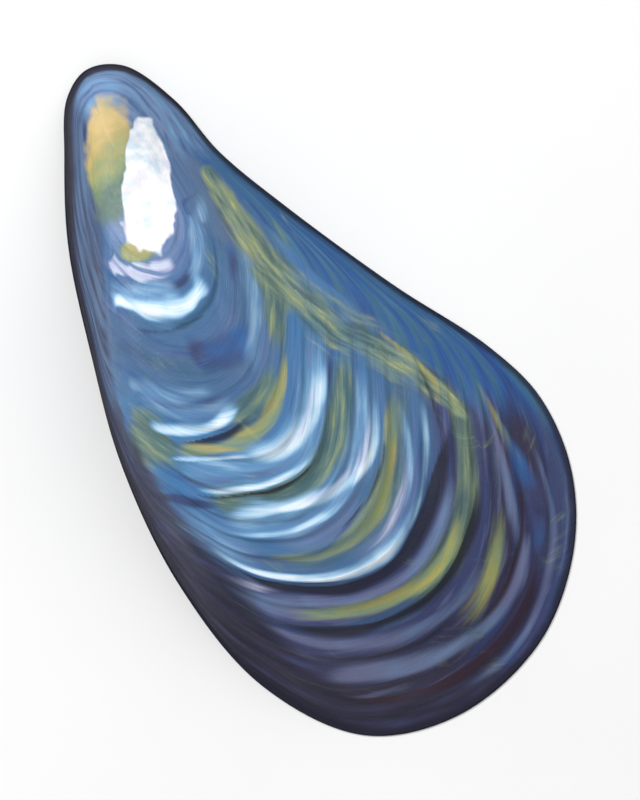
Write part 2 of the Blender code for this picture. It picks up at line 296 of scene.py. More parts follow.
SHADE_BANDS = [
    (0.020, 0.70, [(0.14, 0.275), (0.17, 0.228), (0.23, 0.194), (0.33, 0.178)]),
    (0.020, 0.75, [(0.41, 0.200), (0.46, 0.203), (0.52, 0.210), (0.60, 0.226)]),
    (0.066, 1.00, [(0.38, 0.350), (0.43, 0.335), (0.48, 0.318), (0.51, 0.312)]),
    (0.060, 0.34, [(0.50, 0.318), (0.56, 0.330), (0.64, 0.350), (0.72, 0.370)]),
    (0.034, 0.62, [(0.12, 0.322), (0.20, 0.318), (0.27, 0.310), (0.34, 0.300)]),
    (0.018, 0.60, [(0.49, 0.384), (0.55, 0.398), (0.61, 0.425), (0.67, 0.460)]),
    (0.020, 0.80, [(0.49, 0.512), (0.55, 0.526), (0.61, 0.556)]),
    (0.024, 0.90, [(0.56, 0.568), (0.60, 0.592), (0.64, 0.620), (0.71, 0.654)]),
    (0.030, 0.70, [(0.31, 0.556), (0.33, 0.552), (0.36, 0.546)]),
    (0.030, 0.60, [(0.34, 0.722), (0.38, 0.714), (0.44, 0.700)]),
    (0.032, 0.95, [(0.34, 0.905), (0.37, 0.932), (0.41, 0.947)]),
]
# How much of a band's width lies before and after its strongest line.
# Pale arcs lie mostly before it, as painted highlight; dark lines after it, as painted shadow.
BANDS = {
    "light": (LIGHT_BANDS, (0.9, 0.45)),
    "lilac_and_highlight": (PALE_LILAC_AND_HIGHLIGHT_BANDS, (0.9, 0.6)),
    "haze": (HAZE_BANDS, (1.0, 1.0)),
    "lilac": (LILAC_BANDS, (1.0, 0.7)),
    "ochre": (OCHRE_BANDS, (0.8, 0.5)),
    "olive": (OLIVE_BANDS, (0.9, 0.9)),
    "dark": (DARK_LINE_AND_SHADOW_BANDS, (0.25, 1.0)),
    "shade": (SHADE_BANDS, (0.8, 0.8)),
}
BAND_ENDS = 0.030
BAND_WAVER = 0.002
BAND_TURNS = 28
BAND_CURVE_POWER = 3
BAND_WIDTH_MIDDLE = 0.85
BAND_WIDTH_SWELL = 0.35
WAVER_STEP = 7.3
SWELL_STEP = 3.1
BAND_SEED = 101

# How far the dark of the belly side's rear and the dark line along the rim reach in from the
# rim, as (place, millimetres).
GLOOM_REACH = [
    (0.00, 0.9), (0.05, 0.3), (0.10, 0.0), (0.44, 0.0), (0.54, 3.6), (0.60, 6.4), (0.65, 6.4),
    (0.70, 3.8), (0.74, 2.0), (0.80, 0.6), (0.88, 0.8), (0.93, 1.1), (0.97, 1.0), (1.00, 0.7),
]
GLOOM_GROWTH = (0.58, 0.78)
GLOOM_FADE = (0.4, 1.5)
LEAST_REACH = 0.01
EDGE_REACH = [
    (0.00, 0.9), (0.10, 0.8), (0.30, 0.9), (0.50, 1.2), (0.70, 1.2), (0.80, 0.8), (0.90, 1.0),
    (0.94, 1.3), (0.98, 1.2), (1.00, 0.9),
]

# The slate margin of the belly side by the beak, and the pale lines drawn along the rim there, as
# (millimetres from the rim, first place, last place, strength).
MARGIN_REACH = (2.4, 5.6)
MARGIN_PLACES = ((0.72, 0.80), (0.97, 1.00))
MARGIN_LINES = [(1.15, 0.73, 0.90, 0.46), (2.60, 0.80, 0.93, 0.40)]
MARGIN_LINE_WIDTH = 0.42
MARGIN_WAVER = 0.25
MARGIN_SEED = 91

# The pale blue ground of the beak.
BEAK_PLACES = (0.05, 0.13)
BEAK_GROWTH = (0.30, 0.55)

# Colours, as red, green and blue from 0 to 255.
ICE = (226, 240, 250)
PALE_SKY = (164, 202, 230)
SKY = (112, 162, 204)
SLATE = (74, 104, 142)
STEEL = (68, 106, 150)
AZURE = (66, 118, 168)
COBALT = (38, 90, 152)
ULTRAMARINE = (32, 68, 128)
TEAL = (58, 104, 128)
INDIGO = (55, 63, 103)
NAVY = (32, 38, 76)
INK = (18, 18, 38)
PLUM = (44, 40, 66)
MAROON = (48, 20, 36)
LILAC_GREY = (116, 122, 158)
PERIWINKLE = (114, 138, 178)
OCHRE = (184, 168, 92)
GOLD = (214, 184, 108)
OLIVE = (98, 122, 100)
MOSS = (66, 94, 88)
YELLOW_GREEN = (148, 160, 100)
STRAW = (188, 192, 144)
SAGE = (124, 146, 130)
CREAM = (246, 247, 249)
CHALK_SHADE = (206, 222, 234)
CERULEAN = (58, 134, 200)
NACRE_LILAC = (206, 202, 232)
UMBER = (62, 44, 34)
CHESTNUT = (104, 72, 48)

# The image's height and the shell's in it, in pixels, and how the shell is turned in it.
IMAGE_HEIGHT = 800
SHELL_HEIGHT_IN_IMAGE = 672
SHELL_TURN = math.radians(28.2)
CAMERA_DISTANCE = 0.6
SENSOR = 36.0

# The floor of pale paper, in metres, and the light: lamps are (name, place, size, power).
FLOOR_SIZE = 3.0
FLOOR_ROUGHNESS = 0.9
PAPER_CLOUDS = (40.0, 0, 4.0)
PAPER = [(0.3, (240, 240, 240)), (0.7, (237, 237, 237))]
WORLD_STRENGTH = 0.42
LAMPS = [
    ("key", (-0.16, 0.42, 0.42), 0.30, 3.0),
    ("fill", (0.45, 0.1, 0.5), 0.5, 1.0),
    ("rear", (-0.2, -0.5, 0.45), 0.5, 0.8),
]


def smoothstep(span, value):
    """0 before the span, 1 after it, and an eased rise within it."""
    low, high = span
    t = np.clip((value - low) / (high - low), 0.0, 1.0)
    return t * t * (3.0 - 2.0 * t)


def mix(first, second, share):
    return first + (second - first) * share


def within(edges, value):
    """1 between two eased edges, and 0 outside them."""
    start, end = edges
    return smoothstep(start, value) * (1.0 - smoothstep(end, value))


def eased(stops, place):
    """The value at each place, eased from one (place, value) stop to the next."""
    places, values = np.array(stops).T
    i = np.clip(np.searchsorted(places, place, side="right") - 1, 0, len(places) - 2)
    return mix(values[i], values[i + 1], smoothstep((places[i], places[i + 1]), place))


def noise(u, v, seed, wrap=64):
    """Smooth noise from -1 to 1 over two coordinates. It repeats after wrap steps of u."""
    table = np.random.default_rng(seed).uniform(-1.0, 1.0, (wrap, NOISE_LENGTH))
    u, v = np.broadcast_arrays(u, v)
    iu, iv = np.floor(u).astype(int), np.floor(v).astype(int)
    fu, fv = smoothstep((0.0, 1.0), u - iu), smoothstep((0.0, 1.0), v - iv)
    near, far = iv % NOISE_LENGTH, (iv + 1) % NOISE_LENGTH
    low = mix(table[iu % wrap, near], table[(iu + 1) % wrap, near], fu)
    high = mix(table[iu % wrap, far], table[(iu + 1) % wrap, far], fu)
    return mix(low, high, fv)


def positive_noise(u, v, seed, wrap=64):
    """Smooth noise from 0 to 1."""
    return 0.5 + 0.5 * noise(u, v, seed, wrap)


def closed_curve(points):
    """Points on the closed centripetal Catmull-Rom curve through the given ones."""
    points = np.array(points, float)
    stretches = []
    for i in range(len(points)):
        p0, p1, p2, p3 = (points[(i + k) % len(points)] for k in (-1, 0, 1, 2))
        t1 = np.linalg.norm(p1 - p0) ** 0.5
        t2 = t1 + np.linalg.norm(p2 - p1) ** 0.5
        t3 = t2 + np.linalg.norm(p3 - p2) ** 0.5
        t = np.linspace(t1, t2, RIM_CURVE_STEPS, endpoint=False)[:, None]
        a1 = ((t1 - t) * p0 + t * p1) / t1
        a2 = ((t2 - t) * p1 + (t - t1) * p2) / (t2 - t1)
        a3 = ((t3 - t) * p2 + (t - t2) * p3) / (t3 - t2)
        b1 = ((t2 - t) * a1 + t * a2) / t2
        b2 = ((t3 - t) * a2 + (t - t1) * a3) / (t3 - t1)
        stretches.append(((t2 - t) * b1 + (t - t1) * b2) / (t2 - t1))
    return np.concatenate(stretches)


class GrowthAxis:
    """The arc that the shell grew along. Places beside it are given as (along, across)."""

    def __init__(self):
        self.radius = AXIS_LENGTH / AXIS_TURN
        side = np.array([math.cos(AXIS_HEADING), math.sin(AXIS_HEADING)])
        self.centre = np.array(FIRST_SHELL) + self.radius * side
        self.start = math.atan2(-side[1], -side[0])

    def from_plan(self, points):
        """(along, across) of points given as (x, y)."""
        away = points - self.centre
        turned = np.arctan2(away[:, 1], away[:, 0]) - self.start
        turned = (turned + math.pi) % math.tau - math.pi
        return self.radius * turned, self.radius - np.hypot(away[:, 0], away[:, 1])

    def to_plan(self, along, across):
        """x and y of places given as (along, across)."""
        angle = self.start + along / self.radius
        reach = self.radius - across
        return self.centre[0] + reach * np.cos(angle), self.centre[1] + reach * np.sin(angle)


class Rim:
    """Today's rim, measured along and across the growth axis."""

    def __init__(self, axis):
        self.curve = closed_curve(RIM_POINTS)
        closed = np.vstack([self.curve, self.curve[:1]])
        lengths = np.linalg.norm(np.diff(closed, axis=0), axis=1)
        self.place = np.concatenate([[0.0], np.cumsum(lengths)]) / lengths.sum()
        self.along, self.across = axis.from_plan(closed)
        self.middle = (self.curve.min(0) + self.curve.max(0)) / 2.0

    def at(self, place):
        """(along, across) of the rim at each place around it."""
        return np.interp(place, self.place, self.along), np.interp(place, self.place, self.across)

    def distance(self, points):
        """How far each point is from the rim, seen from above."""
        plan = points[..., :2] + self.middle
        near = np.full(plan.shape[:-1], np.inf)
        for x, y in self.curve[::RIM_STRIDE]:
            near = np.minimum(near, np.hypot(plan[..., 0] - x, plan[..., 1] - y))
        return near


AXIS = GrowthAxis()
RIM = Rim(AXIS)


def smooth_back(growth, place):
    """Points of the shell's outside without its relief."""
    place = place % 1.0
    rim_along, rim_across = RIM.at(place)
    hinge_width = growth - HINGE_SIDE_LAG * growth**2 * (1.0 - growth)
    belly_width = growth + BELLY_SIDE_LEAD * growth * (1.0 - growth) ** 2
    along = growth * rim_along
    across = rim_across * mix(belly_width, hinge_width, smoothstep(SIDE_CHANGE, rim_across))
    x, y = AXIS.to_plan(along, across)
    bend = np.where(along > 0.0, HEIGHT_BEND_TO_REAR, HEIGHT_BEND_TO_BEAK)
    height = HEIGHT_AT_FIRST_SHELL + HEIGHT_RISE * along + bend * along**2
    crown = CROWN_AT_FIRST_SHELL + CROWN_RISE * np.maximum(along, 0.0)
    height = height / (1.0 + (across / crown) ** 2)
    z = height * (1.0 - growth ** eased(FALLS, place))
    return np.stack([x - RIM.middle[0], y - RIM.middle[1], z], axis=-1)


def outward(growth, place):
    """Unit normals of the smooth back, pointing out, and the spread of its growth lines."""
    line = smooth_back(growth, place + SLOPE_STEP) - smooth_back(growth, place - SLOPE_STEP)
    line /= np.linalg.norm(line, axis=-1, keepdims=True)
    after = smooth_back(growth + SLOPE_STEP, place)
    before = smooth_back(np.maximum(growth - SLOPE_STEP, 0.0), place)
    normal = np.cross(line, (after - before) / (2.0 * SLOPE_STEP))
    spread = np.linalg.norm(normal, axis=-1, keepdims=True)
    return normal / spread, spread[..., 0]


def growth_on(line, place):
    """The growth at which a growth line crosses each place."""
    to_keel = np.clip((KEEL_TURN - place) / KEEL_TURN, 0.0, 1.0) ** KEEL_TURN_POWER
    to_belly = np.clip((place - BELLY_TURN) / (1.0 - BELLY_TURN), 0.0, 1.0) ** BELLY_TURN_POWER
    left = (1.0 - line) * np.exp(-CROWDING * (to_keel + to_belly) * line**CROWDING_POWER)
    growth = mix(line, 1.0 - left, CROWDING_SHARE)
    off_middle = np.clip((place - LEAN_PLACE) / LEAN_REACH, -1.0, 1.0)
    leaning = np.exp(-(((line - LEAN_LINE) / LEAN_WIDTH) ** 2))
    wander = noise(place * WANDER_TURNS, line * WANDER_LINES, seed=11, wrap=WANDER_TURNS)
    wander = WANDER * wander * within(WANDER_ENDS, line)
    return growth - LEAN * leaning * np.sin(math.pi * off_middle) + wander


def band_depth(line):
    """How far the bands lie below their crests, at full drop."""
    depth = np.zeros_like(line)
    for (start, drop), (crest, _) in zip(LEDGES, LEDGES[1:] + [(1.0, 0.0)]):
        fallen = np.clip((line - start) / LEDGE_WIDTH, 0.0, 1.0)
        risen = np.clip((line - start - LEDGE_WIDTH) / (crest - start - LEDGE_WIDTH), 0.0, 1.0)
        in_band = (line > start) & (line <= crest)
        depth = np.where(in_band, drop * fallen * (1.0 - risen) ** LEDGE_RAMP_POWER, depth)
    return depth


def reach_from(points, centre, half_size, turn, taper):
    """How far out of a patch each point lies: 0 at its middle and 1 on its edge."""
    x = points[..., 0] + RIM.middle[0] - centre[0]
    y = points[..., 1] + RIM.middle[1] - centre[1]
    lengthways = (math.sin(turn) * x + math.cos(turn) * y) / half_size[1]
    sideways = (math.cos(turn) * x - math.sin(turn) * y) / half_size[0]
    sideways = sideways / (1.0 - taper * np.clip(lengthways, -TAPER_REACH, TAPER_REACH))
    torn = 0.0
    for steps_x, steps_y, shift_x, shift_y, strength, seed in TEARS:
        torn = torn + strength * noise(x * steps_x + shift_x, y * steps_y + shift_y, seed)
    reach = (abs(sideways) ** PATCH_POWER + abs(lengthways) ** PATCH_POWER) ** (1.0 / PATCH_POWER)
    return reach + TORN_EDGE * torn * smoothstep(TORN_REACH, reach)


def flank_share(line, place):
    """1 on the smooth flank between the keel and the hinge, and 0 off it."""
    keel = eased(KEEL, np.clip(place, KEEL[0][0], KEEL[-1][0]))
    beyond = smoothstep((0.0, 1.0), (line - keel) / KEEL_SOFTNESS)
    return beyond * smoothstep(FLANK_START, place) * (1.0 - smoothstep(FLANK_END, place))


def keel_streak(points):
    """The streak on the keel: its share at each point, and how far across it the point lies."""
    along = np.linspace(0.0, 1.0, len(KEEL_STREAK))
    fine = np.linspace(0.0, 1.0, KEEL_STREAK_STEPS)
    x, y, width = (np.interp(fine, along, values) for values in zip(*KEEL_STREAK))
    away_x = points[..., 0, None] + RIM.middle[0] - x
    away_y = points[..., 1, None] + RIM.middle[1] - y
    distance = np.hypot(away_x, away_y)
    nearest = distance.argmin(axis=-1)
    distance = np.take_along_axis(distance, nearest[..., None], -1)[..., 0]
    side = np.sign(np.take_along_axis(away_x, nearest[..., None], -1)[..., 0])
    return smoothstep((0.0, 1.0), 1.0 - distance / width[nearest]), side * distance


def relief_depth(line, place, points, spread, flank, worn):
    """How far the shell's outside lies below the smooth back."""
    share = np.clip(spread / SPREAD_OF_FULL_DROP, 0.0, 1.0)
    by_keel = 1.0 - smoothstep(KEEL_CALM_PLACES, place)
    calm = mix(1.0, FLANK_DROP_SHARE, np.maximum(flank, by_keel))
    chips = 1.0 + CHIPS * noise(place * CHIP_TURNS, line * CHIP_LINES, seed=21, wrap=CHIP_TURNS)
    depth = band_depth(line) * share * chips * calm
    turned = place * FINE_LINE_TURNS
    for k, (count, height) in enumerate(FINE_LINES):
        strength = positive_noise(turned, line * FADE_LINES, FADE_SEED + k, FINE_LINE_TURNS)
        lines = positive_noise(turned, line * count, FINE_LINE_SEED + k, FINE_LINE_TURNS)
        depth = depth + height * strength * share * lines * calm
    x, y = points[..., 0] / SWELL_SIZE, points[..., 1] / SWELL_SIZE
    depth = depth + SWELL * positive_noise(x + SWELL_SHIFT, y + SWELL_SHIFT, seed=71)
    pit = noise(x * PITS_IN_SWELL + PIT_SHIFT, y * PITS_IN_SWELL + PIT_SHIFT, seed=72)
    pits = WORN_DEPTH * (PIT_LEAST + PIT_SWING * pit)
    return mix(depth, pits, worn) * (1.0 - smoothstep(CALM_AT_RIM, line))


def between_ends(start, end, place):
    """1 from one place to another, eased to 0 past both."""
    return within(((start - BAND_ENDS, start + BAND_ENDS), (end - BAND_ENDS, end + BAND_ENDS)), place)


def band_share(line, place, bands, sides, seed):
    """How strongly the strongest of some colour bands covers each point, from 0 to 1."""
    share = np.zeros(line.shape)
    turned = place * BAND_TURNS
    for k, (width, strength, path) in enumerate(bands):
        waver = noise(turned, np.full_like(place, WAVER_STEP * k), seed, BAND_TURNS)
        swell = noise(turned, np.full_like(place, SWELL_STEP * k), seed + 1, BAND_TURNS)
        places, lines = zip(*path)
        start, end = places[0], places[-1]
        curve = np.polyfit(places, lines, min(BAND_CURVE_POWER, len(path) - 1))
        middle = np.polyval(curve, np.clip(place, start - BAND_ENDS, end + BAND_ENDS))
        swollen = width * (BAND_WIDTH_MIDDLE + BAND_WIDTH_SWELL * swell)
        off = (line - middle - BAND_WAVER * waver) / swollen
        body = 1.0 - np.where(off < 0.0, -off / sides[0], off / sides[1])
        body = strength * between_ends(start, end, place) * smoothstep((0.0, 1.0), body)
        share = np.maximum(share, body)
    return share


def margin_lines(rim_distance, place):
    """The pale lines drawn along the rim, at each point from 0 to 1."""
    share = np.zeros(place.shape)
    turned = place * BAND_TURNS
    for distance, start, end, strength in MARGIN_LINES:
        waver = noise(turned, np.full_like(place, distance), MARGIN_SEED, BAND_TURNS)
        off = abs(rim_distance - distance * (1.0 + MARGIN_WAVER * waver)) / MARGIN_LINE_WIDTH
        body = strength * between_ends(start, end, place) * np.clip(1.0 - off, 0.0, 1.0)
        share = np.maximum(share, body)
    return share


def inside(growth, place):
    """Points of the shell's inside: the smooth back, moved in by the wall."""
    wall = mix(WALL, WALL_AT_RIM, smoothstep(THINNING_GROWTH, growth))
    under_beak = 1.0 - smoothstep(THICK_TO_PLACE, np.minimum(place, 1.0 - place))
    wall = mix(wall, WALL_AT_BEAK, under_beak * smoothstep(THICKENING_GROWTH, growth))
    normal, _ = outward(growth, place)
    return smooth_back(growth, place) - wall[..., None] * normal


def inner_edge(place):
    """The growth at which the inside comes down to Z = 0, at each place around the rim."""
    low = np.full(len(place), EDGE_SEARCH[0])
    high = np.full(len(place), EDGE_SEARCH[1])
    for _ in range(EDGE_SEARCH_STEPS):
        middle = (low + high) / 2.0
        above = inside(middle, place)[:, 2] > 0.0
        low = np.where(above, middle, low)
        high = np.where(above, high, middle)
    return low


def crowded_places():
    """Places around the rim, closer together at the beak."""
    fine = np.linspace(0.0, 1.0, CROWDING_STEPS)
    from_beak = np.minimum(fine, 1.0 - fine) / BEAK_CROWDING_REACH
    crowding = np.cumsum(1.0 + BEAK_CROWDING * np.exp(-(from_beak**2)))
    crowding = (crowding - crowding[0]) / (crowding[-1] - crowding[0])
    return np.interp(np.linspace(0.0, 1.0, PLACES, endpoint=False), crowding, fine)


def outer_lines():
    """The growth lines that the outside's mesh follows, with a cut at each step of a ledge."""
    stops = [FIRST_OUTER_RING]
    for crest, _ in LEDGES:
        stops.extend(crest + LEDGE_WIDTH * cut for cut in LEDGE_CUTS)
    stops.append(1.0)
    lines = stops[:1]
    for low, high in zip(stops, stops[1:]):
        parts = math.ceil((high - low) / FINE_BAND)
        lines.extend(mix(low, high, (k + 1) / parts) for k in range(parts))
    return np.array(lines)


def outside_rings(place):
    """The outside's rings of points, from its first to the rim, and what is painted on them."""
    line, place = np.broadcast_arrays(outer_lines()[:, None], place)
    growth = growth_on(line, place)
    points = smooth_back(growth, place)
    normal, spread = outward(growth, place)
    crowding = growth_on(line + SLOPE_STEP, place) - growth_on(line - SLOPE_STEP, place)
    spread = spread * crowding / (2.0 * SLOPE_STEP)
    flank = flank_share(line, place)
    worn = 1.0 - smoothstep(WORN_EDGE, reach_from(points, *WORN_PATCH))
    side_stain = 1.0 - smoothstep(STAIN_EDGE, reach_from(points, *SIDE_STAIN))
    base_stain = 1.0 - smoothstep(STAIN_EDGE, reach_from(points, *BASE_STAIN))
    depth = relief_depth(line, place, points, spread, flank, worn)
    rim_distance = RIM.distance(points)
    keel, keel_across = keel_streak(points)
    gloom_reach = np.maximum(eased(GLOOM_REACH, place), LEAST_REACH)
    gloom = 1.0 - smoothstep(GLOOM_FADE, rim_distance / gloom_reach)
    near_beak = 1.0 - smoothstep(BEAK_PLACES, np.minimum(place, 1.0 - place))
    margin = within(MARGIN_PLACES, place)
    stain_tone = smoothstep(STAIN_FADE, points[..., 1] + RIM.middle[1])
    painted = {
        "line": line,
        "rim_distance": rim_distance,
        "worn": worn,
        "stain": np.maximum(side_stain, base_stain),
        "stain_tone": np.maximum(stain_tone, BASE_STAIN_TONE * base_stain),
        "flank": flank,
        "keel": keel,
        "keel_across": keel_across,
        "gloom": gloom * smoothstep(GLOOM_GROWTH, growth),
        "edge": 1.0 - np.clip(rim_distance / eased(EDGE_REACH, place), 0.0, 1.0),
        "beak": smoothstep(BEAK_GROWTH, growth) * near_beak,
        "margin": margin * (1.0 - smoothstep(MARGIN_REACH, rim_distance)),
    }
    # The pale and lilac arcs are partly painted highlight, the dark lines partly painted shadow.
    for k, (name, (bands, sides)) in enumerate(BANDS.items()):
        painted[name] = band_share(line, place, bands, sides, BAND_SEED + 2 * k)
    painted["light"] = np.maximum(painted["light"], margin_lines(rim_distance, place))
    return points - depth[..., None] * normal, painted


def edge_rings(rim, inner_lip):
    """The two rings that the rim rests on: one by its outer edge and one by its inner lip."""
    across = inner_lip[:, :2] - rim[:, :2]
    step = across / np.linalg.norm(across, axis=1, keepdims=True) * EDGE_ROUNDING
    under, lip = rim.copy(), inner_lip.copy()
    under[:, :2] += step
    lip[:, :2] -= step
    under[:, 2] = 0.0
    lip[:, 2] = 0.0
    return [under, lip]


def inside_rings(place):
    """The inside's rings of points, from its lip to the roof, and what is painted on them."""
    shares = np.linspace(1.0, FIRST_INNER_RING, INNER_RINGS)
    share, edge = np.broadcast_arrays(shares[:, None], inner_edge(place))
    place = np.broadcast_to(place, share.shape)
    growth = share * edge
    points = inside(growth, place)
    normal, _ = outward(growth, place)
    scars = [1.0 - smoothstep(SCAR_EDGE, reach_from(points, *scar)) for scar in SCARS]
    scar = np.maximum.reduce(scars)
    flat = np.zeros_like(place)
    wander = PALLIAL_WANDER * noise(place * PALLIAL_TURNS, flat, seed=81, wrap=PALLIAL_TURNS)
    pallial = np.exp(-(((share - PALLIAL_SHARE - wander) / PALLIAL_WIDTH) ** 2))
    pallial = pallial * within(PALLIAL_PLACES, place)
    past_beak = (place + 0.5) % 1.0 - 0.5
    by_lip = smoothstep(TEETH_SHARES, share)
    teeth = np.cos(past_beak / TOOTH_SPACING * math.tau) * by_lip * (abs(past_beak) < TEETH_REACH)
    ligament = within(LIGAMENT_PLACES, past_beak) * smoothstep(LIGAMENT_SHARES, share)
    turned = place * INNER_RIPPLE_TURNS
    ripple = noise(turned, share * INNER_RIPPLES, seed=83, wrap=INNER_RIPPLE_TURNS)
    sunk = SCAR_DEPTH * scar + PALLIAL_DEPTH * pallial + INNER_RIPPLE_HEIGHT * ripple
    sunk = sunk + LIGAMENT_DEPTH * ligament + TOOTH_DEPTH * np.maximum(teeth, 0.0)
    sunk = sunk * smoothstep((0.0, LIP_CALM), 1.0 - share)
    painted = {
        "depth_in": 1.0 - share,
        "scar": scar,
        "pallial": pallial,
        "ligament": ligament,
        "gold": within(INNER_GOLD_PLACES, place) * within(INNER_GOLD_SHARES, share),
    }
    return points + sunk[..., None] * normal, painted


def shell_rings():
    """All rings of the shell, from the back's first ring to the roof inside, and their paint."""
    place = crowded_places()
    back, back_paint = outside_rings(place)
    inner, inner_paint = inside_rings(place)
    back[-1, :, 2] = EDGE_ROUNDING
    inner[0, :, 2] = EDGE_ROUNDING
    rings = np.concatenate([back, edge_rings(back[-1], inner[0]), inner])
    rings[..., 2] = np.maximum(rings[..., 2], 0.0)
    painted = {}
    for name, values in back_paint.items():
        past = np.repeat(values[-1:], len(rings) - len(back), axis=0)
        painted[name] = np.concatenate([values, past])
    for name, values in inner_paint.items():
        before = np.repeat(values[:1], len(rings) - len(inner), axis=0)
        painted[name] = np.concatenate([before, values])
    painted["rim_distance"][len(back):] = RIM.distance(rings[len(back):])
    return rings, painted, len(back)


def bake_places(points, below):
    """Where points go on the bake's map: the outside in its left half and the rest in its right."""
    low, high = points.min(0), points.max(0)
    share = (points - low) / (high - low)
    u = BAKE_MARGIN + (0.5 - 2.0 * BAKE_MARGIN) * share[:, 0] + 0.5 * below
    v = BAKE_MARGIN + (1.0 - 2.0 * BAKE_MARGIN) * share[:, 1]
    return np.stack([u, v], axis=-1)


def make_shell():
    """One closed mesh: a fan, quads from ring to ring over the back, round the rim and up inside,
    and a closing fan. The corners of each face are in the order that makes its normal point out."""
    rings, painted, back_count = shell_rings()
    count = len(rings)
    ends = np.array([rings[0].mean(0), rings[-1].mean(0)])
    vertices = np.vstack([rings.reshape(-1, 3), ends]) * MM
    index = np.arange(count * PLACES).reshape(count, PLACES)
    after = np.roll(index, -1, axis=1)
    quads = np.stack([index[:-1], after[:-1], after[1:], index[1:]], axis=-1)
    first_fan = np.stack([after[0], index[0], np.full(PLACES, count * PLACES)], axis=-1)
    last_fan = np.stack([index[-1], after[-1], np.full(PLACES, count * PLACES + 1)], axis=-1)
    faces = quads.reshape(-1, 4).tolist() + first_fan.tolist() + last_fan.tolist()
    data = bpy.data.meshes.new("mussel_shell_surface")
    data.from_pydata(vertices.tolist(), [], faces)
    for name, values in painted.items():
        with_ends = np.concatenate([values.ravel(), [values[0].mean(), values[-1].mean()]])
        data.attributes.new(name, "FLOAT", "POINT").data.foreach_set("value", with_ends)
    strips = np.repeat(np.arange(count - 1), PLACES)
    strips = np.concatenate([strips, np.zeros(PLACES, int), np.full(PLACES, count - 1)])
    data.polygons.foreach_set("material_index", (strips > back_count).astype(np.int32))
    corners = np.zeros(len(data.loops), np.int32)
    data.loops.foreach_get("vertex_index", corners)
    sizes = np.zeros(len(data.polygons), np.int32)
    data.polygons.foreach_get("loop_total", sizes)
    below = np.repeat(strips >= back_count - 1, sizes)
    layer = data.uv_layers.new(name="OFBake")
    layer.uv.foreach_set("vector", bake_places(vertices[corners, :2], below).ravel())
    data.shade_smooth()
    shell = bpy.data.objects.new("mussel_shell_surface", data)
    bpy.context.scene.collection.objects.link(shell)
    return shell


def linear(colour):
    """A colour given as red, green and blue from 0 to 255, as the four numbers a shader takes."""
    parts = np.array(colour) / 255.0
    parts = np.where(parts <= 0.04045, parts / 12.92, ((parts + 0.055) / 1.055) ** 2.4)
    return (*parts, 1.0)


class Wire:
    """A number in a material's node tree. Arithmetic on it adds Math nodes."""

    def __init__(self, tree, socket):
        self.tree = tree
        self.socket = socket

    def math(self, operation, *others):
        node = self.tree.nodes.new("ShaderNodeMath")
        node.operation = operation
        for entry, value in zip(node.inputs, (self, *others)):
            plug(self.tree, entry, value)
        return Wire(self.tree, node.outputs[0])

    def __add__(self, other):
        return self.math("ADD", other)

    def __sub__(self, other):
        return self.math("SUBTRACT", other)

    def __mul__(self, other):
        return self.math("MULTIPLY", other)

    def inverse(self):
        """One minus this number."""
        return self.math("MULTIPLY_ADD", -1.0, 1.0)

    def between(self, low, high):
        """0 up to low, 1 from high, and an eased rise between them."""
        node = self.tree.nodes.new("ShaderNodeMapRange")
        node.interpolation_type = "SMOOTHSTEP"
        plug(self.tree, node.inputs["Value"], self)
        plug(self.tree, node.inputs["From Min"], low)
        plug(self.tree, node.inputs["From Max"], high)
        return Wire(self.tree, node.outputs["Result"])


def plug(tree, entry, value):
    """Links a wire to an input, or sets the input to a plain value."""
    if isinstance(value, Wire):
        tree.links.new(value.socket, entry)
    else:
        entry.default_value = value


